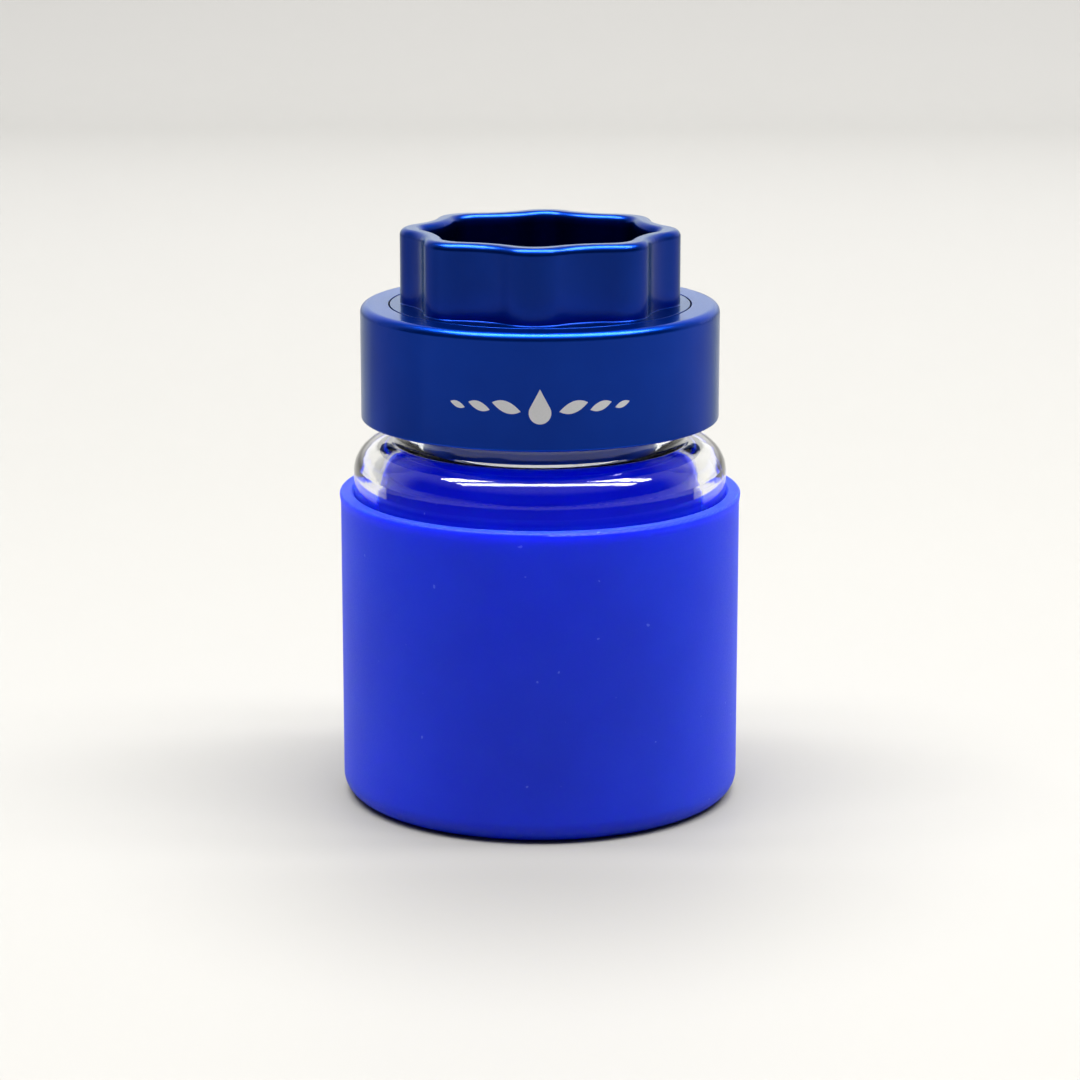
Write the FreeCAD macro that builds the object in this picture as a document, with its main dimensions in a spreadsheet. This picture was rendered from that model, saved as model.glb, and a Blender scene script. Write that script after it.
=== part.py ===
"""Ink bottle: a clear glass bottle in a silicone sleeve, closed by a screw collar with a lobed screw stopper.

Millimetres, +Z up. The origin is the middle of the sleeve's underside. Every piece is a turned or moulded
body about the Z axis, so each one starts as a half section on its own XZ plane.
"""

import FreeCAD, Part
import math
import os
import Sketcher
import PartDesign

DOCUMENT = FreeCAD.newDocument("ink_bottle")
SHEET = DOCUMENT.addObject("Spreadsheet::Sheet", "dims")

# Driving dimensions: alias, number, meaning. Heights are above the sleeve's underside.
DIMENSIONS = [
    # silicone sleeve
    ("sleeve_radius", 26.0, "outside radius of the sleeve"),
    ("sleeve_height", 40.45, "height of the sleeve's rim"),
    ("sleeve_bore", 24.36, "inside radius of the sleeve"),
    ("sleeve_floor", 2.0, "thickness of the sleeve's floor"),
    ("sleeve_corner", 2.6, "rounding of the sleeve's lower outside edge"),
    ("sleeve_inner_corner", 1.6, "rounding inside the sleeve at its floor"),
    ("sleeve_rim_round", 0.35, "rounding of the rim's two edges"),
    ("lip_proud", 0.14, "how far the lip at the rim stands out from the sleeve's side"),
    ("lip_height", 0.55, "height of the lip"),
    ("lip_slope", 0.8, "height over which the side runs out to the lip"),
    ("lip_blend", 2.0, "blending radius above and below that slope"),
    ("foot_recess_radius", 20.0, "radius of the shallow recess under the sleeve"),
    ("foot_recess_depth", 0.4, "depth of that recess"),
    ("foot_recess_round", 0.15, "rounding of the recess's edge"),
    # glass bottle
    ("glass_radius", 24.27, "outside radius of the glass"),
    ("glass_wall", 3.05, "wall of the glass at its side"),
    ("shoulder_wall", 1.85, "wall of the glass below the shoulder's highest point"),
    ("glass_base", 4.6, "thickness of the glass base"),
    ("glass_corner", 2.4, "rounding of the glass at its base"),
    ("glass_inner_corner", 4.0, "rounding inside the glass at its base"),
    ("punt_radius", 18.0, "radius of the hollow under the glass base"),
    ("punt_depth", 1.2, "depth of that hollow"),
    ("punt_round", 0.55, "rounding of that hollow's edges"),
    ("shoulder_height", 47.8, "height at which the shoulder's top meets the line of the side"),
    ("shoulder_fall", 0.85, "how far the shoulder's top falls towards the neck"),
    ("shoulder_round", 4.1, "rounding of the shoulder's outside"),
    ("shoulder_inner_round", 3.1, "rounding of the shoulder's inside"),
    ("neck_radius", 18.45, "outside radius of the neck"),
    ("neck_bore", 15.55, "inside radius of the neck"),
    ("neck_cove", 0.9, "fillet where the neck meets the shoulder"),
    ("neck_inner_round", 2.3, "rounding where the shoulder's inside runs up into the neck"),
    ("rim_height", 58.9, "height of the glass rim"),
    ("rim_round", 0.9, "rounding of the glass rim's edges"),
    # screw thread between the neck and the collar's insert
    ("cap_pitch", 4.0, "rise of the collar for one turn"),
    ("cap_thread_start", 51.0, "height of the glass ridge's middle line at its start"),
    ("cap_thread_turns", 1.5, "turns of the glass ridge"),
    ("cap_ridge_crest", 19.5, "crest radius of the glass ridge"),
    ("cap_ridge_foot", 2.8, "width of the round glass ridge where it is sunk in the neck"),
    # gasket and insert
    ("gasket_inner", 15.4, "inside radius of the neck gasket"),
    ("gasket_outer", 19.7, "outside radius of the neck gasket"),
    ("gasket_thickness", 1.2, "thickness of the neck gasket"),
    ("insert_bore", 20.0, "inside radius of the insert's skirt"),
    ("insert_radius", 21.5, "outside radius of the insert"),
    ("insert_ceiling", 1.0, "thickness of the insert's ceiling"),
    ("insert_hole", 15.2, "radius of the hole in the insert's ceiling"),
    ("insert_setback", 0.5, "height of the insert's lower edge above the collar's"),
    ("insert_ridge_crest", 18.7, "crest radius of the insert's inward ridge"),
    ("insert_ridge_foot", 2.0, "width of the insert's ridge at its skirt"),
    ("insert_ridge_top", 0.8, "width of the insert's ridge at its crest"),
    ("insert_thread_turns", 1.3, "turns of the insert's ridge"),
    ("insert_ridge_lift", 0.2, "how far that ridge lies above the middle of the glass ridge's groove"),
    # collar
    ("collar_radius", 23.23, "outside radius of the collar"),
    ("collar_bottom", 50.09, "height of the collar's lower edge"),
    ("collar_top", 64.98, "height of the collar's top face"),
    ("collar_top_round", 1.0, "rounding of the collar's top outside edge"),
    ("collar_bottom_round", 0.3, "rounding of the collar's lower outside edge"),
    ("seat_radius", 19.6, "radius of the recess that takes the knob's foot"),
    ("seat_depth", 1.98, "depth of that recess"),
    ("edge_break", 0.06, "small edge break on machined edges"),
    ("barrel_radius", 14.95, "outside radius of the collar's inner barrel"),
    ("barrel_bore", 13.75, "inside radius of the inner barrel"),
    ("barrel_bottom", 46.55, "height of the inner barrel's lower edge"),
    # screw thread between the stopper's stem and the barrel
    ("stem_pitch", 2.0, "rise of the knob for one turn"),
    ("stem_radius", 13.0, "core radius of the stem"),
    ("stem_ridge_crest", 13.6, "crest radius of the stem's ridge"),
    ("barrel_ridge_crest", 13.15, "crest radius of the barrel's inward ridge"),
    ("fine_ridge_foot", 1.2, "width of both fine ridges at the root"),
    ("fine_ridge_top", 0.35, "width of both fine ridges at the crest"),
    ("stem_thread_start", 57.4, "height of the stem ridge's middle line at its start"),
    ("stem_thread_turns", 2.3, "turns of the stem's ridge"),
    ("barrel_thread_turns", 2.6, "turns of the barrel's ridge"),
    ("barrel_thread_start", 56.5, "height of the barrel ridge's middle line at its start"),
    # knob
    ("knob_top", 74.69, "height of the knob's rim"),
    ("foot_radius", 19.4, "radius of the knob's round foot"),
    ("lobe_count", 8, "number of lobes"),
    ("lobe_crest", 18.09, "radius over the lobes"),
    ("lobe_valley", 16.24, "radius between the lobes"),
    ("lobe_nose", 5.0, "nose radius of each lobe"),
    ("cup_crest", 15.25, "radius of the hollow under the lobes"),
    ("cup_valley", 13.75, "radius of the hollow between the lobes"),
    ("cup_nose", 3.4, "nose radius of the hollow's lobes"),
    ("cup_floor", 65.8, "height of the hollow's floor"),
    ("cup_corner", 0.8, "rounding at the hollow's floor"),
    ("knob_rim_round", 0.95, "rounding of the knob rim's outside edge"),
    ("cup_rim_round", 0.85, "rounding of the knob rim's inside edge"),
    ("knob_root_round", 0.12, "fillet where the lobes stand on the foot"),
    ("stem_bottom", 46.85, "height of the stem's lower face"),
    ("stem_hollow", 10.8, "radius of the hollow up the stem"),
    ("stem_ceiling", 63.3, "height of the top of that hollow"),
    ("stem_chamfer", 0.8, "lead-in chamfer of the stem"),
    ("knob_turned", -2.9, "turn of the lobes about +Z from the X axis, in degrees"),
    # ring under the knob's foot
    ("seal_radius", 16.5, "middle radius of the seal ring"),
    ("seal_half_width", 0.85, "half the width of the squeezed ring"),
    ("seal_height", 1.1, "height of the squeezed ring, which is its groove's depth"),
    ("seal_groove_half", 1.0, "half the width of the groove"),
]

THREAD_STEPS = 14  # sections in each turn of a screw ridge
RIDGE_BITE = 0.3  # how far a ridge's root is sunk in its wall
RUN_OUT = 0.28  # turns over which a ridge rises from its wall at each end
NARROWEST = 0.55  # width of a ridge at its very end, as a share of its full width


class Dim:
    """A length as its number and as the sheet expression that gives it."""

    def __init__(self, value, text):
        self.value = value
        self.text = text

    def __add__(self, other):
        return joined(self, other, "+", self.value + worth(other))

    def __sub__(self, other):
        return joined(self, other, "-", self.value - worth(other))

    def __mul__(self, other):
        return joined(self, other, "*", self.value * worth(other))

    def __truediv__(self, other):
        return joined(self, other, "/", self.value / worth(other))


def worth(term):
    return term.value if isinstance(term, Dim) else term


def joined(left, right, sign, value):
    right_text = right.text if isinstance(right, Dim) else repr(right)
    return Dim(value, f"({left.text} {sign} {right_text})")


def fill_sheet():
    for row, (alias, number, meaning) in enumerate(DIMENSIONS, start=1):
        SHEET.set(f"A{row}", meaning)
        SHEET.set(f"B{row}", str(number))
        SHEET.setAlias(f"B{row}", alias)
    DOCUMENT.recompute()


def dim(alias):
    return Dim(float(SHEET.get(alias)), f"dims.{alias}")


def number(alias):
    return float(SHEET.get(alias))


# Sketches and features


def new_body(label):
    body = DOCUMENT.addObject("PartDesign::Body", label)
    body.Label = label
    return body


def plane_of(body, role):
    return next(item for item in body.Origin.OriginFeatures if item.Role == role)


def new_sketch(body, name, role, lift=None):
    """A sketch on one of the body's own origin planes, lifted along the plane's normal where asked."""
    sketch = body.newObject("Sketcher::SketchObject", name)
    sketch.AttachmentSupport = [(plane_of(body, role), "")]
    sketch.MapMode = "FlatFace"
    if lift is not None:
        sketch.setExpression("AttachmentOffset.Base.z", lift.text)
    DOCUMENT.recompute()
    return sketch


def bind(sketch, kind, *places, size):
    """A dimensional constraint whose value comes from the sheet."""
    index = sketch.addConstraint(Sketcher.Constraint(kind, *places, size.value))
    sketch.setExpression(f"Constraints[{index}]", size.text)


START, END, CENTRE = 1, 2, 3
X_AXIS, Y_AXIS = -1, -2


def pin_point(sketch, line, x, y):
    """Holds the start of a line at x, y. A coordinate of None lies on the axis."""
    if x is None:
        sketch.addConstraint(Sketcher.Constraint("PointOnObject", line, START, Y_AXIS))
    else:
        bind(sketch, "DistanceX", X_AXIS, START, line, START, size=x)
    if y is None:
        sketch.addConstraint(Sketcher.Constraint("PointOnObject", line, START, X_AXIS))
    else:
        bind(sketch, "DistanceY", X_AXIS, START, line, START, size=y)


def half_section(body, name, corners):
    """A closed outline of straight sides through the corners, given as radius and height."""
    sketch = new_sketch(body, name, "XZ_Plane")
    places = [FreeCAD.Vector(worth(x) if x else 0, worth(y) if y else 0, 0) for x, y in corners]
    for here, there in zip(places, places[1:] + places[:1]):
        sketch.addGeometry(Part.LineSegment(here, there), False)
    count = len(corners)
    for line in range(count):
        sketch.addConstraint(Sketcher.Constraint("Coincident", line, END, (line + 1) % count, START))
    for line, (x, y) in enumerate(corners):
        pin_point(sketch, line, x, y)
    return sketch


def turned(body, name, corners, kind="PartDesign::Revolution"):
    """Revolves a half section about the body's Z axis, adding material or, as a groove, taking it away."""
    sketch = half_section(body, name + "_section", corners)
    feature = body.newObject(kind, name)
    feature.Profile = sketch
    feature.ReferenceAxis = (sketch, ["V_Axis"])
    feature.Angle = 360
    DOCUMENT.recompute()
    return feature


def ring_edges(shape, radius, height):
    """Names of the circular edges about the Z axis with this radius and height."""
    names = []
    for index, edge in enumerate(shape.Edges, start=1):
        curve = edge.Curve
        if not isinstance(curve, Part.Circle):
            continue
        same_height = abs(curve.Center.z - height) < 1e-4
        if same_height and abs(curve.Radius - radius) < 1e-4:
            names.append(f"Edge{index}")
    return names


def level_edges(shape, height, nearest, farthest):
    """Names of the edges that lie level at a height, with their middles between two radii."""
    names = []
    for index, edge in enumerate(shape.Edges, start=1):
        box = edge.BoundBox
        if box.ZLength > 1e-4 or abs(box.ZMin - height) > 1e-4:
            continue
        middle = edge.valueAt((edge.FirstParameter + edge.LastParameter) / 2)
        if nearest < math.hypot(middle.x, middle.y) < farthest:
            names.append(f"Edge{index}")
    return names


def dress(body, base, name, edges, size, kind="PartDesign::Fillet", key="Radius"):
    """Fillets or chamfers the named edges of the body's last feature."""
    if not edges:
        raise RuntimeError(f"{name}: no edge found")
    feature = body.newObject(kind, name)
    feature.Base = (base, edges)
    feature.setExpression(key, size.text)
    DOCUMENT.recompute()
    return feature


def round_rings(body, base, rings):
    """Rounds circular edges, each given as name, radius, height and rounding."""
    for name, radius, height, rounding in rings:
        edges = ring_edges(base.Shape, radius.value, worth(height))
        base = dress(body, base, name, edges, rounding)
    return base


# Screw ridges


class Ridge:
    """A right-hand screw ridge on a round wall, which rises from the wall and sinks back at its ends."""

    def __init__(self, wall, crest, foot_width, top_width, pitch, start, turns):
        self.outward = 1 if crest > wall else -1
        self.sunk = wall - self.outward * RIDGE_BITE
        self.crest = crest
        self.foot_width = foot_width
        self.top_width = top_width
        self.pitch = pitch
        self.start = start
        self.turns = turns

    def section(self, turn):
        """The closed section at this turn: a trapezoid, or an arch where the top has no width."""
        rise = min(1.0, turn / RUN_OUT, (self.turns - turn) / RUN_OUT)
        eased = rise * rise * (3 - 2 * rise)
        lowest = self.sunk + self.outward * RIDGE_BITE / 2
        crest = lowest + (self.crest - lowest) * eased
        narrowed = NARROWEST + (1 - NARROWEST) * eased
        foot = self.foot_width * narrowed / 2
        top = self.top_width * narrowed / 2
        middle = self.start + self.pitch * turn
        angle = 2 * math.pi * turn

        def place(radius, height):
            return FreeCAD.Vector(radius * math.cos(angle), radius * math.sin(angle), height)

        under = place(self.sunk, middle - foot)
        over = place(self.sunk, middle + foot)
        if self.top_width == 0:
            arch = Part.Arc(under, place(crest, middle), over)
            return Part.Wire([arch.toShape(), Part.makeLine(over, under)])
        return Part.makePolygon([under, place(crest, middle - top), place(crest, middle + top), over, under])

    def solid(self, label):
        steps = round(self.turns * THREAD_STEPS)
        sections = [self.section(self.turns * step / steps) for step in range(steps + 1)]
        feature = DOCUMENT.addObject("Part::Feature", label)
        feature.Shape = Part.makeLoft(sections, True, False)
        return feature


def joined_piece(label, body, ridge):
    """The finished piece: a body with its screw ridge fused on."""
    piece = DOCUMENT.addObject("Part::Fuse", label)
    piece.Label = label
    piece.Base = body
    piece.Tool = ridge
    DOCUMENT.recompute()
    return piece


# The pieces


def silicone_sleeve():
    body = new_body("silicone_sleeve")
    radius = dim("sleeve_radius")
    lip = radius + dim("lip_proud")
    height = dim("sleeve_height")
    lip_foot = height - dim("lip_height")
    slope_foot = lip_foot - dim("lip_slope")
    bore = dim("sleeve_bore")
    floor = dim("sleeve_floor")
    recess = dim("foot_recess_radius")
    depth = dim("foot_recess_depth")
    base = turned(
        body,
        "sleeve_shell",
        [(None, depth), (recess, depth), (recess, None), (radius, None), (radius, slope_foot),
         (lip, lip_foot), (lip, height), (bore, height), (bore, floor), (None, floor)],
    )
    round_rings(
        body,
        base,
        [
            ("sleeve_lower_round", radius, 0, dim("sleeve_corner")),
            ("sleeve_inner_round", bore, floor, dim("sleeve_inner_corner")),
            ("sleeve_lip_lower_blend", radius, slope_foot, dim("lip_blend")),
            ("sleeve_lip_upper_blend", lip, lip_foot, dim("lip_blend")),
            ("sleeve_rim_outer", lip, height, dim("sleeve_rim_round")),
            ("sleeve_rim_inner", bore, height, dim("sleeve_rim_round")),
            ("sleeve_recess_edge", recess, 0, dim("foot_recess_round")),
        ],
    )
    return body


def glass_bottle():
    body = new_body("glass_body")
    radius = dim("glass_radius")
    wall = dim("glass_wall")
    under = dim("sleeve_floor")
    inner = radius - wall
    floor = under + dim("glass_base")
    shoulder = dim("shoulder_height")
    ceiling = shoulder - dim("shoulder_wall")
    neck_foot = shoulder - dim("shoulder_fall")
    neck = dim("neck_radius")
    bore = dim("neck_bore")
    rim = dim("rim_height")
    punt = dim("punt_radius")
    punt_top = under + dim("punt_depth")
    base = turned(
        body,
        "glass_blank",
        [(None, punt_top), (punt, punt_top), (punt, under), (radius, under), (radius, shoulder),
         (neck, neck_foot), (neck, rim), (bore, rim), (bore, ceiling), (inner, ceiling), (inner, floor),
         (None, floor)],
    )
    round_rings(
        body,
        base,
        [
            ("glass_heel", radius, under, dim("glass_corner")),
            ("glass_shoulder", radius, shoulder, dim("shoulder_round")),
            ("glass_neck_cove", neck, neck_foot, dim("neck_cove")),
            ("glass_rim_outer", neck, rim, dim("rim_round")),
            ("glass_rim_inner", bore, rim, dim("rim_round")),
            ("glass_throat", bore, ceiling, dim("neck_inner_round")),
            ("glass_shoulder_inside", inner, ceiling, dim("shoulder_inner_round")),
            ("glass_floor_corner", inner, floor, dim("glass_inner_corner")),
            ("glass_punt_edge", punt, under, dim("punt_round")),
            ("glass_punt_corner", punt, punt_top, dim("punt_round")),
        ],
    )
    ridge = Ridge(
        number("neck_radius"),
        number("cap_ridge_crest"),
        number("cap_ridge_foot"),
        0,
        number("cap_pitch"),
        number("cap_thread_start"),
        number("cap_thread_turns"),
    )
    return joined_piece("glass_bottle", body, ridge.solid("neck_ridge"))


def neck_gasket():
    body = new_body("neck_gasket")
    inner = dim("gasket_inner")
    outer = dim("gasket_outer")
    under = dim("rim_height")
    top = under + dim("gasket_thickness")
    turned(body, "gasket_ring", [(inner, under), (outer, under), (outer, top), (inner, top)])
    return body


def thread_insert():
    body = new_body("insert_body")
    bore = dim("insert_bore")
    radius = dim("insert_radius")
    lower = dim("collar_bottom") + dim("insert_setback")
    ceiling = dim("rim_height") + dim("gasket_thickness")
    top = ceiling + dim("insert_ceiling")
    hole = dim("insert_hole")
    base = turned(
        body,
        "insert_shell",
        [(bore, lower), (radius, lower), (radius, top), (hole, top), (hole, ceiling), (bore, ceiling)],
    )
    edges = ring_edges(base.Shape, bore.value, lower.value)
    dress(body, base, "insert_lead_in", edges, dim("insert_setback"), "PartDesign::Chamfer", "Size")
    half_pitch = number("cap_pitch") / 2
    ridge = Ridge(
        number("insert_bore"),
        number("insert_ridge_crest"),
        number("insert_ridge_foot"),
        number("insert_ridge_top"),
        number("cap_pitch"),
        number("cap_thread_start") + half_pitch + number("insert_ridge_lift"),
        number("insert_thread_turns"),
    )
    return joined_piece("thread_insert", body, ridge.solid("insert_ridge"))


def cap_collar():
    body = new_body("collar_body")
    radius = dim("collar_radius")
    lower = dim("collar_bottom")
    top = dim("collar_top")
    socket = dim("insert_radius")
    web = dim("rim_height") + dim("gasket_thickness") + dim("insert_ceiling")
    barrel = dim("barrel_radius")
    barrel_end = dim("barrel_bottom")
    bore = dim("barrel_bore")
    seat = top - dim("seat_depth")
    seat_radius = dim("seat_radius")
    base = turned(
        body,
        "collar_blank",
        [(socket, lower), (radius, lower), (radius, top), (seat_radius, top), (seat_radius, seat),
         (bore, seat), (bore, barrel_end), (barrel, barrel_end), (barrel, web), (socket, web)],
    )
    round_rings(
        body,
        base,
        [
            ("collar_top_edge", radius, top, dim("collar_top_round")),
            ("collar_lower_edge", radius, lower, dim("collar_bottom_round")),
            ("collar_socket_edge", socket, lower, dim("edge_break")),
            ("collar_seat_edge", seat_radius, top, dim("edge_break")),
            ("collar_barrel_edge", barrel, barrel_end, dim("edge_break")),
            ("collar_barrel_mouth", bore, seat, dim("edge_break")),
        ],
    )
    ridge = Ridge(
        number("barrel_bore"),
        number("barrel_ridge_crest"),
        number("fine_ridge_foot"),
        number("fine_ridge_top"),
        number("stem_pitch"),
        number("barrel_thread_start"),
        number("barrel_thread_turns"),
    )
    return joined_piece("cap_collar", body, ridge.solid("barrel_ridge"))


def lobe_places(crest, valley, nose, half_angle):
    """Where a lobe's arcs lie: nose centre, flank centre, flank radius and the point where they meet."""
    nose_x = crest - nose
    across = math.cos(half_angle)
    numerator = nose_x**2 + valley**2 - 2 * nose_x * valley * across - nose**2
    flank = numerator / (2 * (nose - valley + nose_x * across))
    flank_x = (valley + flank) * math.cos(half_angle)
    flank_y = (valley + flank) * math.sin(half_angle)
    share = nose / (nose + flank)
    meet_x = nose_x + (flank_x - nose_x) * share
    meet_y = flank_y * share
    return nose_x, (flank_x, flank_y), flank, (meet_x, meet_y)


def lobe_sketch(body, name, lift, crest, valley, nose):
    """One lobe about +X: two straight sides from the axis, two hollow flanks and a round nose."""
    sketch = new_sketch(body, name, "XY_Plane", lift)
    half_angle = math.pi / number("lobe_count")
    nose_x, (flank_x, flank_y), flank, (meet_x, meet_y) = lobe_places(
        crest.value, valley.value, nose.value, half_angle
    )
    side_x = valley.value * math.cos(half_angle)
    side_y = valley.value * math.sin(half_angle)
    up = FreeCAD.Vector(0, 0, 1)
    origin = FreeCAD.Vector(0, 0, 0)
    lower_side = Part.LineSegment(origin, FreeCAD.Vector(side_x, -side_y, 0))
    upper_side = Part.LineSegment(FreeCAD.Vector(side_x, side_y, 0), origin)
    nose_turn = math.atan2(meet_y, meet_x - nose_x)
    nose_circle = Part.Circle(FreeCAD.Vector(nose_x, 0, 0), up, nose.value)
    nose_arc = Part.ArcOfCircle(nose_circle, -nose_turn, nose_turn)

    def flank_arc(sign):
        circle = Part.Circle(FreeCAD.Vector(flank_x, sign * flank_y, 0), up, flank)
        to_side = math.atan2(sign * (side_y - flank_y), side_x - flank_x)
        to_nose = math.atan2(sign * (meet_y - flank_y), meet_x - flank_x)
        if sign > 0:
            return Part.ArcOfCircle(circle, to_side, to_nose)
        return Part.ArcOfCircle(circle, to_nose, to_side)

    low, high, tip, low_flank, high_flank = range(5)
    for curve in (lower_side, upper_side, nose_arc, flank_arc(-1), flank_arc(1)):
        sketch.addGeometry(curve, False)
    sketch.addConstraint(Sketcher.Constraint("Coincident", low, START, X_AXIS, START))
    sketch.addConstraint(Sketcher.Constraint("Coincident", high, END, X_AXIS, START))
    sketch.addConstraint(Sketcher.Constraint("PointOnObject", tip, CENTRE, X_AXIS))
    bind(sketch, "DistanceX", X_AXIS, START, tip, CENTRE, size=crest - nose)
    bind(sketch, "Radius", tip, size=nose)
    bind(sketch, "Distance", low, size=valley)
    bind(sketch, "Distance", high, size=valley)
    half_turn = Dim(half_angle, "(180 deg / dims.lobe_count)")
    bind(sketch, "Angle", low, START, X_AXIS, START, size=half_turn)
    bind(sketch, "Angle", X_AXIS, START, high, END, size=half_turn)
    sketch.addConstraint(Sketcher.Constraint("Tangent", low_flank, START, tip, START))
    sketch.addConstraint(Sketcher.Constraint("Tangent", high_flank, END, tip, END))
    sketch.addConstraint(Sketcher.Constraint("Perpendicular", low_flank, END, low, END))
    sketch.addConstraint(Sketcher.Constraint("Perpendicular", high_flank, START, high, START))
    return sketch


def repeat_round(body, name, feature):
    """Repeats a lobe round the Z axis."""
    pattern = body.newObject("PartDesign::PolarPattern", name)
    pattern.Originals = [feature]
    pattern.Axis = (plane_of(body, "Z_Axis"), [""])
    pattern.Angle = 360
    pattern.setExpression("Occurrences", "dims.lobe_count")
    body.Tip = pattern
    DOCUMENT.recompute()
    return pattern


def lobed(body, name, lift, crest, valley, nose, length, kind="PartDesign::Pad", reverse=False):
    """A lobed pad or pocket: one lobe, repeated round the Z axis."""
    sketch = lobe_sketch(body, name + "_lobe", lift, crest, valley, nose)
    feature = body.newObject(kind, name)
    feature.Profile = sketch
    feature.setExpression("Length", length.text)
    feature.Reversed = reverse
    DOCUMENT.recompute()
    return repeat_round(body, name + "_round", feature)


def stopper_knob():
    body = new_body("knob_body")
    top = dim("knob_top")
    face = dim("collar_top")
    seat = face - dim("seat_depth")
    stem = dim("stem_radius")
    stem_end = dim("stem_bottom")
    hollow = dim("stem_hollow")
    stem_top = dim("stem_ceiling")
    floor = dim("cup_floor")
    seal = dim("seal_radius")
    groove = dim("seal_groove_half")
    foot = dim("foot_radius")
    turned(
        body,
        "knob_blank",
        [(None, stem_top), (hollow, stem_top), (hollow, stem_end), (stem, stem_end), (stem, seat),
         (seal - groove, seat), (seal - groove, seat + dim("seal_height")),
         (seal + groove, seat + dim("seal_height")), (seal + groove, seat), (foot, seat), (foot, face),
         (None, face)],
    )
    lobed(
        body, "knob_lobes", face, dim("lobe_crest"), dim("lobe_valley"), dim("lobe_nose"), top - face
    )
    last = lobed(
        body, "knob_cup", top, dim("cup_crest"), dim("cup_valley"), dim("cup_nose"), top - floor,
        kind="PartDesign::Pocket",
    )
    inside = number("cup_crest") + 0.5
    outside = number("lobe_crest") + 0.5
    for name, height, nearest, farthest, rounding in [
        ("knob_rim", top, inside, outside, "knob_rim_round"),
        ("cup_rim", top, 5, inside, "cup_rim_round"),
        ("cup_floor_corner", floor, 5, inside, "cup_corner"),
        ("knob_root", face, inside, outside, "knob_root_round"),
        ("foot_edge", face, outside, 30, "edge_break"),
    ]:
        edges = level_edges(last.Shape, height.value, nearest, farthest)
        last = dress(body, last, name, edges, dim(rounding))
    edges = ring_edges(last.Shape, stem.value, stem_end.value)
    dress(body, last, "stem_lead_in", edges, dim("stem_chamfer"), "PartDesign::Chamfer", "Size")
    body.setExpression("Placement.Rotation.Angle", "dims.knob_turned * 1 deg")
    ridge = Ridge(
        number("stem_radius"),
        number("stem_ridge_crest"),
        number("fine_ridge_foot"),
        number("fine_ridge_top"),
        number("stem_pitch"),
        number("stem_thread_start"),
        number("stem_thread_turns"),
    )
    return joined_piece("stopper_knob", body, ridge.solid("stem_ridge"))


def stopper_seal_ring():
    """A round-section ring, squeezed flat to its groove's depth: an oval section turned about the Z axis."""
    body = new_body("stopper_seal_ring")
    under = dim("collar_top") - dim("seat_depth")
    middle = dim("seal_radius")
    half = dim("seal_half_width")
    top = under + dim("seal_height")
    base = turned(
        body,
        "seal_section",
        [(middle - half, under), (middle + half, under), (middle + half, top), (middle - half, top)],
    )
    edges = []
    for radius in (middle - half, middle + half):
        for height in (under, top):
            edges += ring_edges(base.Shape, radius.value, height.value)
    dress(body, base, "seal_round", edges, dim("seal_height") * 0.46)
    return body


def check(pieces):
    """Stops before anything is written if a feature failed or a piece isn't one sound solid."""
    for item in DOCUMENT.Objects:
        if "Invalid" in item.State or "Error" in item.State:
            raise RuntimeError(f"{item.Name} failed: {item.State}")
    for label, piece in pieces.items():
        shape = piece.Shape
        if shape.isNull() or not shape.isValid() or len(shape.Solids) != 1:
            raise RuntimeError(f"{label} isn't one valid solid")


def main():
    fill_sheet()
    pieces = {
        "silicone_sleeve": silicone_sleeve(),
        "glass_bottle": glass_bottle(),
        "neck_gasket": neck_gasket(),
        "thread_insert": thread_insert(),
        "cap_collar": cap_collar(),
        "stopper_seal_ring": stopper_seal_ring(),
        "stopper_knob": stopper_knob(),
    }
    DOCUMENT.recompute()
    check(pieces)
    os.makedirs("parts", exist_ok=True)
    for label, piece in pieces.items():
        piece.Shape.exportStep(f"parts/{label}.step")
        box = piece.Shape.BoundBox
        print(f"{label}: {piece.Shape.Volume:.1f} mm3, z {box.ZMin:.2f} to {box.ZMax:.2f}")


main()
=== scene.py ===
import math

import bpy
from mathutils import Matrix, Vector


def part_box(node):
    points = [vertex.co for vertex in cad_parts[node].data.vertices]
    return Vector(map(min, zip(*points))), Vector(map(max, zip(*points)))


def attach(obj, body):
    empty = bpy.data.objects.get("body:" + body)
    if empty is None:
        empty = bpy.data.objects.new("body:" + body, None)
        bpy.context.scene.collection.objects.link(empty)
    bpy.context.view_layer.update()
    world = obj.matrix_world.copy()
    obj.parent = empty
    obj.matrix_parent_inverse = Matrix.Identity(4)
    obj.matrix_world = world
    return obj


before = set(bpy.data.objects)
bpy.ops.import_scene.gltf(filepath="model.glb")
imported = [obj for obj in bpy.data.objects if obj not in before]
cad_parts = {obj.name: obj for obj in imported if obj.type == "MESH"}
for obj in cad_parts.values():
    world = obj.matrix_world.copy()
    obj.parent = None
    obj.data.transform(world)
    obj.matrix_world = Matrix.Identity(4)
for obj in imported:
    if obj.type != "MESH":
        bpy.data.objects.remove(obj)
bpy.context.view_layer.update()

MM = 0.001

# The CAD box, and the places that the looks are worked out from.
SLEEVE_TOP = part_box("silicone_sleeve")[1].z / MM
COLLAR_LOW, COLLAR_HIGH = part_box("cap_collar")
KNOB_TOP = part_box("stopper_knob")[1].z / MM
COLLAR_RADIUS = COLLAR_HIGH.x

# Wells with a look of their own: the knob's cup, darkened with painted shade, and the sleeve's bore, which
# has no shine; a radius, and the two heights between which they fade out, in millimetres.
KNOB_CUP_PAINTED_SHADE = (15.35, KNOB_TOP - 1.69, KNOB_TOP - 0.29)
SLEEVE_BORE = (24.4, SLEEVE_TOP - 0.85, SLEEVE_TOP - 0.25)


# ---------------------------------------------------------------- node helpers


def new_material(name):
    material = bpy.data.materials.new(name)
    material.use_nodes = True
    tree = material.node_tree
    shader = next(node for node in tree.nodes if node.type == "BSDF_PRINCIPLED")
    return material, tree, shader


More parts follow.
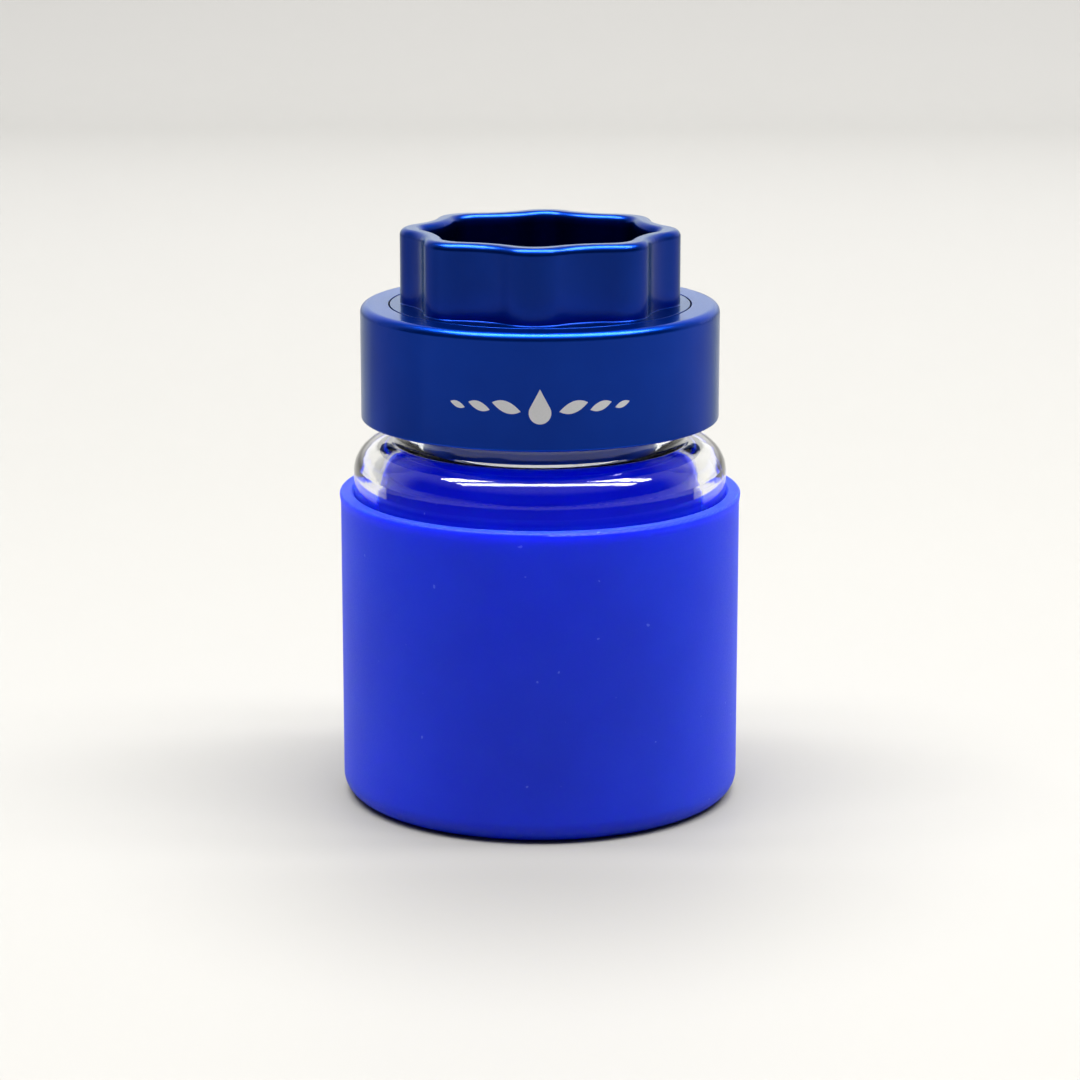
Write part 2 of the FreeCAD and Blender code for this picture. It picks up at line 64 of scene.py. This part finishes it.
def set_values(shader, **values):
    """Sets plain values on the shader's own sockets; a name's underscores stand for spaces."""
    for key, value in values.items():
        shader.inputs[key.replace("_", " ")].default_value = value


def add(tree, kind, **settings):
    node = tree.nodes.new(kind)
    for key, value in settings.items():
        setattr(node, key, value)
    return node


def object_coords(tree):
    return add(tree, "ShaderNodeTexCoord").outputs["Object"]


def noise(tree, coords, scale, detail=3.0):
    """A noise texture; scale is in features per millimetre."""
    node = add(tree, "ShaderNodeTexNoise")
    node.inputs["Scale"].default_value = scale / MM
    node.inputs["Detail"].default_value = detail
    node.inputs["Roughness"].default_value = 0.55
    tree.links.new(coords, node.inputs["Vector"])
    return node.outputs["Fac"]


def remap(tree, value, low, high, to_low, to_high, smooth=False):
    node = add(tree, "ShaderNodeMapRange")
    if smooth:
        node.interpolation_type = "SMOOTHSTEP"
    for key, number in zip(("From Min", "From Max", "To Min", "To Max"), (low, high, to_low, to_high)):
        node.inputs[key].default_value = number
    tree.links.new(value, node.inputs["Value"])
    return node.outputs["Result"]


def maths(tree, operation, left, right):
    node = add(tree, "ShaderNodeMath", operation=operation)
    for socket, value in zip(node.inputs, (left, right)):
        if isinstance(value, (int, float)):
            socket.default_value = value
        else:
            tree.links.new(value, socket)
    return node.outputs["Value"]


def mix_colours(tree, share, first, second):
    node = add(tree, "ShaderNodeMix", data_type="RGBA")
    for socket, value in ((node.inputs[0], share), (node.inputs[6], first), (node.inputs[7], second)):
        if isinstance(value, bpy.types.NodeSocket):
            tree.links.new(value, socket)
        else:
            socket.default_value = value
    return node.outputs[2]


def bump(tree, height, depth_mm, after=None):
    """A bump whose full height is this many millimetres."""
    node = add(tree, "ShaderNodeBump")
    node.inputs["Strength"].default_value = 1.0
    node.inputs["Distance"].default_value = depth_mm * MM
    tree.links.new(height, node.inputs["Height"])
    if after is not None:
        tree.links.new(after, node.inputs["Normal"])
    return node.outputs["Normal"]


# ---------------------------------------------------------------- materials


def anodised_aluminium(name, dark, light, painted_shade=None):
    """Aluminium, blasted with fine beads and anodised blue under a thin clear seal.

    Where a well is given, painted shade darkens the blue inside it.
    """
    material, tree, shader = new_material(name)
    coords = object_coords(tree)
    cloud = noise(tree, coords, 0.12, detail=2.0)
    grain = noise(tree, coords, 9.0, detail=2.0)
    colour = mix_colours(tree, remap(tree, cloud, 0.3, 0.7, 0.0, 1.0), dark, light)
    if painted_shade is not None:
        # Painted shade: the inside of the well is darkened towards deep navy.
        colour = mix_colours(tree, well(tree, coords, *painted_shade), colour, (0.0004, 0.008, 0.09, 1))
    tree.links.new(colour, shader.inputs["Base Color"])
    tree.links.new(remap(tree, grain, 0.3, 0.7, 0.28, 0.34), shader.inputs["Roughness"])
    tree.links.new(bump(tree, grain, 0.003), shader.inputs["Normal"])
    set_values(shader, Metallic=1.0, Coat_Weight=0.5, Coat_Roughness=0.13, Coat_IOR=1.25)
    shader.inputs["Specular Tint"].default_value = (0.34, 0.46, 0.42, 1)
    return material


def well(tree, coords, radius, low, high):
    """1 inside a round well about the Z axis, and 0 above the two heights and past the radius."""
    split = add(tree, "ShaderNodeSeparateXYZ")
    tree.links.new(coords, split.inputs[0])
    x, y, z = split.outputs
    square = maths(tree, "ADD", maths(tree, "MULTIPLY", x, x), maths(tree, "MULTIPLY", y, y))
    distance = maths(tree, "SQRT", square, 0)
    inside = remap(tree, distance, radius * MM, (radius + 0.3) * MM, 1.0, 0.0, smooth=True)
    below = remap(tree, z, low * MM, high * MM, 1.0, 0.0, smooth=True)
    return maths(tree, "MULTIPLY", inside, below)


def etched_aluminium(name):
    """Bare aluminium where the blue skin is etched away: pale and satin, with a fine grain."""
    material, tree, shader = new_material(name)
    coords = object_coords(tree)
    grain = noise(tree, coords, 7.0, detail=2.0)
    colour = mix_colours(tree, grain, (0.80, 0.80, 0.82, 1), (0.92, 0.92, 0.94, 1))
    tree.links.new(colour, shader.inputs["Base Color"])
    tree.links.new(remap(tree, grain, 0.3, 0.7, 0.42, 0.55), shader.inputs["Roughness"])
    tree.links.new(bump(tree, grain, 0.004), shader.inputs["Normal"])
    set_values(shader, Metallic=0.85)
    return material


def sleeve_silicone(name):
    """Matte moulded silicone, a little translucent, with a soft bloom, faint flow marks and a few specks.

    Its inner face clings to the glass, so it has no shine of its own.
    """
    material, tree, shader = new_material(name)
    coords = object_coords(tree)
    cloud = noise(tree, coords, 0.08, detail=3.0)
    texture = noise(tree, coords, 6.0, detail=3.0)
    waves = noise(tree, coords, 0.22, detail=2.0)
    dust = noise(tree, coords, 1.1, detail=0.0)
    specks = remap(tree, dust, 0.86, 0.88, 0.0, 0.3)
    body = mix_colours(
        tree, remap(tree, cloud, 0.3, 0.7, 0.0, 1.0), (0.0006, 0.021, 0.54, 1), (0.0012, 0.025, 0.59, 1)
    )
    colour = mix_colours(tree, specks, body, (0.20, 0.28, 0.80, 1))
    tree.links.new(colour, shader.inputs["Base Color"])
    tree.links.new(remap(tree, texture, 0.3, 0.7, 0.52, 0.64), shader.inputs["Roughness"])
    relief = bump(tree, waves, 0.03)
    tree.links.new(bump(tree, texture, 0.006, after=relief), shader.inputs["Normal"])
    clinging = well(tree, coords, *SLEEVE_BORE)
    tree.links.new(remap(tree, clinging, 0.0, 1.0, 0.28, 0.0), shader.inputs["Specular IOR Level"])
    tree.links.new(remap(tree, clinging, 0.0, 1.0, 0.04, 0.0), shader.inputs["Sheen Weight"])
    set_values(shader, Sheen_Roughness=0.4)
    set_values(shader, Subsurface_Weight=1.0, Subsurface_Scale=0.010, Subsurface_Radius=(0.03, 0.06, 1.0))
    shader.inputs["Sheen Tint"].default_value = (0.45, 0.6, 1.0, 1)
    return material


def clear_glass(name):
    """Clear glass with a fire-polished, very slightly uneven surface."""
    material, tree, shader = new_material(name)
    coords = object_coords(tree)
    waves = noise(tree, coords, 0.10, detail=1.0)
    tree.links.new(bump(tree, waves, 0.015), shader.inputs["Normal"])
    shader.inputs["Base Color"].default_value = (0.985, 0.995, 0.99, 1)
    set_values(shader, Roughness=0.0, Transmission_Weight=1.0, IOR=1.52)
    return material


def black_plastic(name):
    """Moulded black polypropylene with a fine spark texture."""
    material, tree, shader = new_material(name)
    coords = object_coords(tree)
    grain = noise(tree, coords, 5.0)
    cloud = noise(tree, coords, 0.3)
    colour = mix_colours(tree, cloud, (0.012, 0.012, 0.014, 1), (0.022, 0.022, 0.025, 1))
    tree.links.new(colour, shader.inputs["Base Color"])
    tree.links.new(remap(tree, grain, 0.3, 0.7, 0.35, 0.5), shader.inputs["Roughness"])
    tree.links.new(bump(tree, grain, 0.008), shader.inputs["Normal"])
    return material


def seal_rubber(name, dark, light):
    """Moulded elastomer: slightly mottled, with a fine grain."""
    material, tree, shader = new_material(name)
    coords = object_coords(tree)
    grain = noise(tree, coords, 7.0)
    cloud = noise(tree, coords, 0.5)
    tree.links.new(mix_colours(tree, cloud, dark, light), shader.inputs["Base Color"])
    tree.links.new(remap(tree, grain, 0.3, 0.7, 0.45, 0.6), shader.inputs["Roughness"])
    tree.links.new(bump(tree, grain, 0.006), shader.inputs["Normal"])
    return material


def dress(node, material):
    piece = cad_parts[node]
    piece.data.materials.clear()
    piece.data.materials.append(material)
    for polygon in piece.data.polygons:
        polygon.use_smooth = True


def dress_all():
    dress("silicone_sleeve", sleeve_silicone("sleeve_silicone_look"))
    dress("glass_bottle", clear_glass("clear_glass_look"))
    collar = anodised_aluminium("collar_look", (0.0004, 0.042, 0.42, 1), (0.0008, 0.048, 0.46, 1))
    dress("cap_collar", collar)
    knob_dark, knob_light = (0.0004, 0.031, 0.30, 1), (0.0008, 0.036, 0.34, 1)
    # The knob's cup is darkened inside with painted shade.
    knob = anodised_aluminium("knob_look", knob_dark, knob_light, painted_shade=KNOB_CUP_PAINTED_SHADE)
    dress("stopper_knob", knob)
    dress("thread_insert", black_plastic("insert_look"))
    dress("neck_gasket", seal_rubber("gasket_look", (0.42, 0.43, 0.45, 1), (0.55, 0.56, 0.58, 1)))
    dress("stopper_seal_ring", seal_rubber("seal_look", (0.010, 0.010, 0.011, 1), (0.02, 0.02, 0.022, 1)))


# ---------------------------------------------------------------- ornament etched on the collar


def leaf(length, height, slant):
    """The lower and upper edge of a slanted leaf, across its length from -1 to 1."""

    def edges(share):
        half = height / 2 * (1 - share * share)
        middle = slant * share * length / 2
        return middle - half, middle + half

    return length / 2, edges


def drop(radius, tip):
    """The lower and upper edge of a drop: a round of this radius with a point above it."""
    meet = radius * math.sqrt(1 - (radius / tip) ** 2)
    meet_height = radius * radius / tip

    def edges(share):
        across = abs(share) * radius
        low = -math.sqrt(max(radius * radius - across * across, 0))
        high = -low
        if across < meet:
            high = tip - (tip - meet_height) * across / meet
        return low, high

    return radius, edges


def collar_ornament():
    """A drop between two rows of shrinking leaves, bent round the collar just above its face."""
    middle = (COLLAR_LOW.z + COLLAR_HIGH.z) / 2 / MM
    shapes = [(0.0, -0.7, drop(1.4, 3.0))]
    for side in (-1, 1):
        for place, length, height in ((4.2, 3.6, 1.5), (7.7, 2.8, 1.15), (10.6, 2.0, 0.8)):
            shapes.append((side * place, 0.0, leaf(length, height, 0.3 * side)))
    sunk, raised = -0.03, 0.012
    columns = 24
    verts, faces = [], []
    for across, up, (half_width, edges) in shapes:
        first = len(verts)
        for column in range(columns + 1):
            share = math.sin((column / columns - 0.5) * math.pi)
            low, high = edges(share)
            angle = (across + share * half_width) * MM / COLLAR_RADIUS
            for height in (low, high):
                for rise in (sunk, raised):
                    radius = COLLAR_RADIUS + rise * MM
                    z = (middle + up + height) * MM
                    verts.append((radius * math.sin(angle), -radius * math.cos(angle), z))
        for column in range(columns):
            a = first + 4 * column
            b = a + 4
            faces += [(a + 1, b + 1, b + 3, a + 3), (a, b, b + 1, a + 1), (a + 3, b + 3, b + 2, a + 2)]
    mesh = bpy.data.meshes.new("collar_ornament")
    mesh.from_pydata(verts, [], faces)
    mesh.materials.append(etched_aluminium("ornament_look"))
    piece = bpy.data.objects.new("collar_ornament", mesh)
    bpy.context.scene.collection.objects.link(piece)
    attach(piece, "collar")


# ---------------------------------------------------------------- stage, light and camera


def ring_points(radius, first, last, steps):
    """Points on a circle about the Z axis; the angles, in degrees, go from the front to +X."""
    turns = [math.radians(first + (last - first) * step / steps) for step in range(steps + 1)]
    return [(radius * math.sin(turn), -radius * math.cos(turn)) for turn in turns]


def band_between(name, lower, upper):
    """A mesh band between two rows of points."""
    verts = [place for pair in zip(lower, upper) for place in pair]
    faces = [(2 * i, 2 * i + 1, 2 * i + 3, 2 * i + 2) for i in range(len(lower) - 1)]
    mesh = bpy.data.meshes.new(name)
    mesh.from_pydata(verts, [], faces)
    band = bpy.data.objects.new(name, mesh)
    bpy.context.scene.collection.objects.link(band)
    return band


def floor_look():
    """Pale paper, lighter far back and on the backdrop, with a painted shadow just before the object."""
    material, tree, shader = new_material("floor_look")
    coords = object_coords(tree)
    cloud = noise(tree, coords, 0.004)
    near = mix_colours(tree, cloud, (0.236, 0.231, 0.218, 1), (0.248, 0.243, 0.230, 1))
    split = add(tree, "ShaderNodeSeparateXYZ")
    tree.links.new(coords, split.inputs[0])
    x, y, z = split.outputs
    far_share = remap(tree, y, 0.15, 0.70, 0.0, 1.0, smooth=True)
    paper = mix_colours(tree, far_share, near, (0.297, 0.291, 0.279, 1))
    # Painted shadow: the paper is darkened in a soft patch just before the object.
    in_front = remap(tree, y, -0.005, -0.04, 0.0, 1.0, smooth=True)
    ahead = maths(tree, "ADD", y, 0.03)
    square = maths(tree, "ADD", maths(tree, "MULTIPLY", x, x), maths(tree, "MULTIPLY", ahead, ahead))
    painted_shadow_strength = remap(tree, maths(tree, "SQRT", square, 0), 0.062, 0.0, 0.0, 0.31, smooth=True)
    painted_shade = mix_colours(tree, maths(tree, "MULTIPLY", in_front, painted_shadow_strength), paper, (0.0, 0.0, 0.0, 1))
    upright = remap(tree, z, 0.04, 0.16, 0.0, 1.0, smooth=True)
    colour = mix_colours(tree, upright, painted_shade, (0.88, 0.88, 0.86, 1))
    tree.links.new(colour, shader.inputs["Base Color"])
    set_values(shader, Roughness=0.6, Specular_IOR_Level=0.2)
    return material


def stage():
    """A pale floor that sweeps up into a backdrop."""
    half_width = 1.6
    front = -1.2
    back = 0.73
    rise = 1.4
    radius = 0.12
    steps = 12
    outline = [(front, 0.0)]
    for step in range(steps + 1):
        turn = math.pi / 2 * step / steps
        outline.append((back + radius * math.sin(turn), radius - radius * math.cos(turn)))
    outline.append((back + radius, rise))
    left = [(-half_width, y, z) for y, z in outline]
    right = [(half_width, y, z) for y, z in outline]
    floor = band_between("floor", left, right)
    for polygon in floor.data.polygons:
        polygon.use_smooth = True
    floor.data.materials.append(floor_look())


def floor_card(name, inner, outer, first, last, dark, light):
    """A band lying round the object that only glass and metal see."""
    height = 0.0008
    rows = [[(x, y, height) for x, y in ring_points(radius, first, last, 48)] for radius in (inner, outer)]
    card = band_between(name, *rows)
    material, tree, shader = new_material(name + "_look")
    cloud = noise(tree, object_coords(tree), 0.004)
    tree.links.new(mix_colours(tree, cloud, dark, light), shader.inputs["Base Color"])
    set_values(shader, Roughness=0.9, Specular_IOR_Level=0.1)
    card.data.materials.append(material)
    card.visible_camera = False
    card.visible_diffuse = False
    card.visible_shadow = False


def surround():
    """A pale wall round the front and the sides, so that views from behind have a plain background too."""
    radius, height = 1.19, 1.3
    places = ring_points(radius, -125, 125, 64)
    wall = band_between("surround", *[[(x, y, z) for x, y in places] for z in (0.0, height)])
    material, tree, shader = new_material("surround_look")
    cloud = noise(tree, object_coords(tree), 0.004)
    colour = mix_colours(tree, cloud, (0.80, 0.80, 0.78, 1), (0.84, 0.835, 0.81, 1))
    tree.links.new(colour, shader.inputs["Base Color"])
    set_values(shader, Roughness=0.9, Specular_IOR_Level=0.1)
    wall.data.materials.append(material)
    wall.visible_diffuse = False
    wall.visible_glossy = False
    wall.visible_transmission = False
    wall.visible_shadow = False


def cards():
    """A dark card near the object, and a grey one behind it on the left."""
    floor_card("dark_card", 0.12, 0.235, -114, 114, (0.008, 0.008, 0.009, 1), (0.012, 0.012, 0.013, 1))
    floor_card("left_card", 0.236, 0.6, -135, -78, (0.15, 0.15, 0.15, 1), (0.18, 0.18, 0.18, 1))


def world_light():
    """Soft white light from above and behind; the room is dark in front and low at the sides."""
    world = bpy.data.worlds.new("studio")
    bpy.context.scene.world = world
    world.use_nodes = True
    tree = world.node_tree
    background = next(node for node in tree.nodes if node.type == "BACKGROUND")
    split = add(tree, "ShaderNodeSeparateXYZ")
    tree.links.new(add(tree, "ShaderNodeTexCoord").outputs["Generated"], split.inputs[0])
    frontal = remap(tree, split.outputs["Y"], 0.35, -0.05, 0.0, 1.0, smooth=True)
    low = remap(tree, split.outputs["Z"], 0.55, 0.85, 1.0, 0.0, smooth=True)
    dark = maths(tree, "MULTIPLY", frontal, low)
    colour = mix_colours(tree, dark, (0.55, 0.55, 0.56, 1), (0.03, 0.03, 0.035, 1))
    tree.links.new(colour, background.inputs["Color"])
    background.inputs["Strength"].default_value = 1.0


def area_light(name, place, aim, size, power):
    data = bpy.data.lights.new(name, "AREA")
    data.shape = "RECTANGLE"
    data.size, data.size_y = size
    data.energy = power
    light = bpy.data.objects.new(name, data)
    light.location = place
    light.rotation_euler = (Vector(aim) - Vector(place)).to_track_quat("-Z", "Y").to_euler()
    bpy.context.scene.collection.objects.link(light)


def lights():
    """Two long ceiling strips side by side, the nearer one a little in front of the object."""
    x, z = 0.12, 1.05
    size = (1.7, 0.19)
    for name, y, power in (("strip_back", 0.05, 32.0), ("strip_front", -0.25, 23.0)):
        area_light(name, (x, y, z), (x, y * 0.3, 0.0), size, power)


def camera():
    """A long lens a little above the object, looking slightly down at it."""
    data = bpy.data.cameras.new("camera")
    data.sensor_width = 36.0
    data.lens = 118.9
    data.clip_start = 0.01
    view = bpy.data.objects.new("camera", data)
    view.location = (0.0, -0.4552, 0.1419)
    view.rotation_euler = (math.radians(90 - 13.40), 0, 0)
    bpy.context.scene.collection.objects.link(view)
    bpy.context.scene.camera = view


dress_all()
collar_ornament()
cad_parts["glass_bottle"].visible_shadow = False
stage()
cards()
surround()
world_light()
lights()
camera()
bpy.context.scene.view_settings.view_transform = "Standard"
